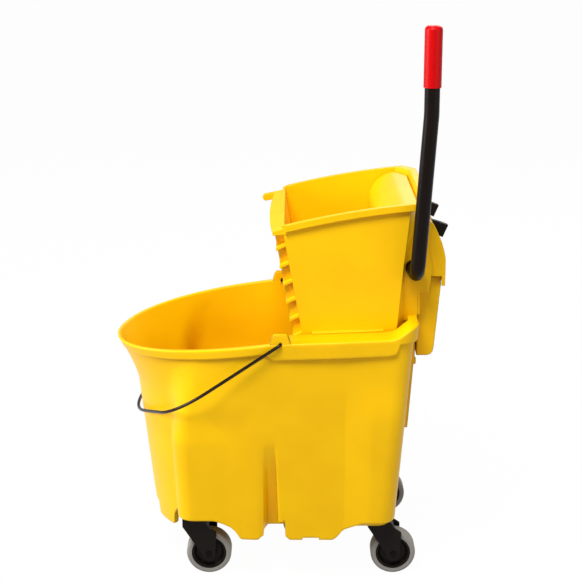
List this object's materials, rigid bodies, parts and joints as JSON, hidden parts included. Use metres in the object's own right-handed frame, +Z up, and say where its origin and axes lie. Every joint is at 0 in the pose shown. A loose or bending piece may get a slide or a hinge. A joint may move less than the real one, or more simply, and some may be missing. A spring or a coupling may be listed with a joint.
{
  "type": "mop bucket with side-press wringer",
  "caption": "Oval wheeled mop bucket with a wire bail, swivel casters and a lift-off wringer whose lever drives a press plate through curved racks.",
  "frame": {"origin": "on the floor, below the middle of the outer box", "axes": "+Z up; +X to the rear, where the wringer hangs; the lever is on the -Y side"},
  "size_m": [0.5593, 0.4268, 0.931],
  "materials": {
    "yellow_plastic": "moulded polypropylene, satin gloss",
    "black_plastic": "moulded nylon, satin",
    "black_tube": "powder-coated steel tube",
    "red_grip": "dipped vinyl",
    "zinc_wire": "zinc-plated drawn wire",
    "black_steel": "black-oxide steel",
    "steel": "plated steel",
    "grey_tyre": "non-marking thermoplastic rubber"
  },
  "bodies": {
    "bucket": {"bucket_shell": "yellow_plastic", "caster_socket_front_near": "black_plastic", "caster_socket_front_far": "black_plastic", "caster_socket_rear_near": "black_plastic", "caster_socket_rear_far": "black_plastic"},
    "bail": {"bail_wire": "zinc_wire"},
    "wringer": {"wringer_basket": "yellow_plastic", "rear_hood": "yellow_plastic", "hook_skirt": "yellow_plastic", "hood_screws": "yellow_plastic", "shaft_bush_near": "black_plastic", "shaft_bush_far": "black_plastic", "plate_hinge_rod": "steel"},
    "handle": {"drive_shaft": "steel", "handle_lever": "black_tube", "handle_grip": "red_grip", "lever_pin": "steel", "shaft_retainer": "black_plastic", "gear_sector_near": "black_plastic", "gear_sector_far": "black_plastic", "sector_pins": "steel"},
    "press": {"press_plate": "yellow_plastic", "rack_near": "black_plastic", "rack_far": "black_plastic", "rack_pins": "steel"},
    "swivel_front_near": {"caster_stem_front_near": "steel", "caster_fork_front_near": "black_plastic", "wheel_axle_front_near": "black_steel"},
    "wheel_front_near": {"wheel_hub_front_near": "black_plastic", "wheel_tyre_front_near": "grey_tyre"},
    "swivel_front_far": {"caster_stem_front_far": "steel", "caster_fork_front_far": "black_plastic", "wheel_axle_front_far": "black_steel"},
    "wheel_front_far": {"wheel_hub_front_far": "black_plastic", "wheel_tyre_front_far": "grey_tyre"},
    "swivel_rear_near": {"caster_stem_rear_near": "steel", "caster_fork_rear_near": "black_plastic", "wheel_axle_rear_near": "black_steel"},
    "wheel_rear_near": {"wheel_hub_rear_near": "black_plastic", "wheel_tyre_rear_near": "grey_tyre"},
    "swivel_rear_far": {"caster_stem_rear_far": "steel", "caster_fork_rear_far": "black_plastic", "wheel_axle_rear_far": "black_steel"},
    "wheel_rear_far": {"wheel_hub_rear_far": "black_plastic", "wheel_tyre_rear_far": "grey_tyre"}
  },
  "joints": [
    {"name": "bail_swing", "type": "hinge", "parent": "bucket", "child": "bail", "pos_m": [0.0045, 0, 0.431], "axis": [0, 1, 0], "range_deg": [0, 110]},
    {"name": "wringer_lift", "type": "slide", "parent": "bucket", "child": "wringer", "axis": [0, 0, 1], "range_m": [0, 0.3]},
    {"name": "handle_pull", "type": "hinge", "parent": "wringer", "child": "handle", "pos_m": [0.222, 0, 0.536], "axis": [0, -1, 0], "range_deg": [0, 42]},
    {"name": "plate_press", "type": "hinge", "parent": "wringer", "child": "press", "pos_m": [0.203, 0, 0.41853], "axis": [0, -1, 0], "range_deg": [0, 12.6]},
    {"name": "swivel_turn_front_near", "type": "hinge", "parent": "bucket", "child": "swivel_front_near", "pos_m": [-0.1425, -0.126, 0.104], "axis": [0, 0, 1], "continuous": true},
    {"name": "wheel_roll_front_near", "type": "hinge", "parent": "swivel_front_near", "child": "wheel_front_near", "pos_m": [-0.1185, -0.126, 0.0381], "axis": [0, 1, 0], "continuous": true},
    {"name": "swivel_turn_front_far", "type": "hinge", "parent": "bucket", "child": "swivel_front_far", "pos_m": [-0.1425, 0.126, 0.104], "axis": [0, 0, 1], "continuous": true},
    {"name": "wheel_roll_front_far", "type": "hinge", "parent": "swivel_front_far", "child": "wheel_front_far", "pos_m": [-0.1185, 0.126, 0.0381], "axis": [0, 1, 0], "continuous": true},
    {"name": "swivel_turn_rear_near", "type": "hinge", "parent": "bucket", "child": "swivel_rear_near", "pos_m": [0.1715, -0.126, 0.104], "axis": [0, 0, 1], "continuous": true},
    {"name": "wheel_roll_rear_near", "type": "hinge", "parent": "swivel_rear_near", "child": "wheel_rear_near", "pos_m": [0.1955, -0.126, 0.0381], "axis": [0, 1, 0], "continuous": true},
    {"name": "swivel_turn_rear_far", "type": "hinge", "parent": "bucket", "child": "swivel_rear_far", "pos_m": [0.1715, 0.126, 0.104], "axis": [0, 0, 1], "continuous": true},
    {"name": "wheel_roll_rear_far", "type": "hinge", "parent": "swivel_rear_far", "child": "wheel_rear_far", "pos_m": [0.1955, 0.126, 0.0381], "axis": [0, 1, 0], "continuous": true}
  ],
  "couplings": [
    {"joint": "plate_press", "follows": "handle_pull", "ratio": 0.3}
  ]
}
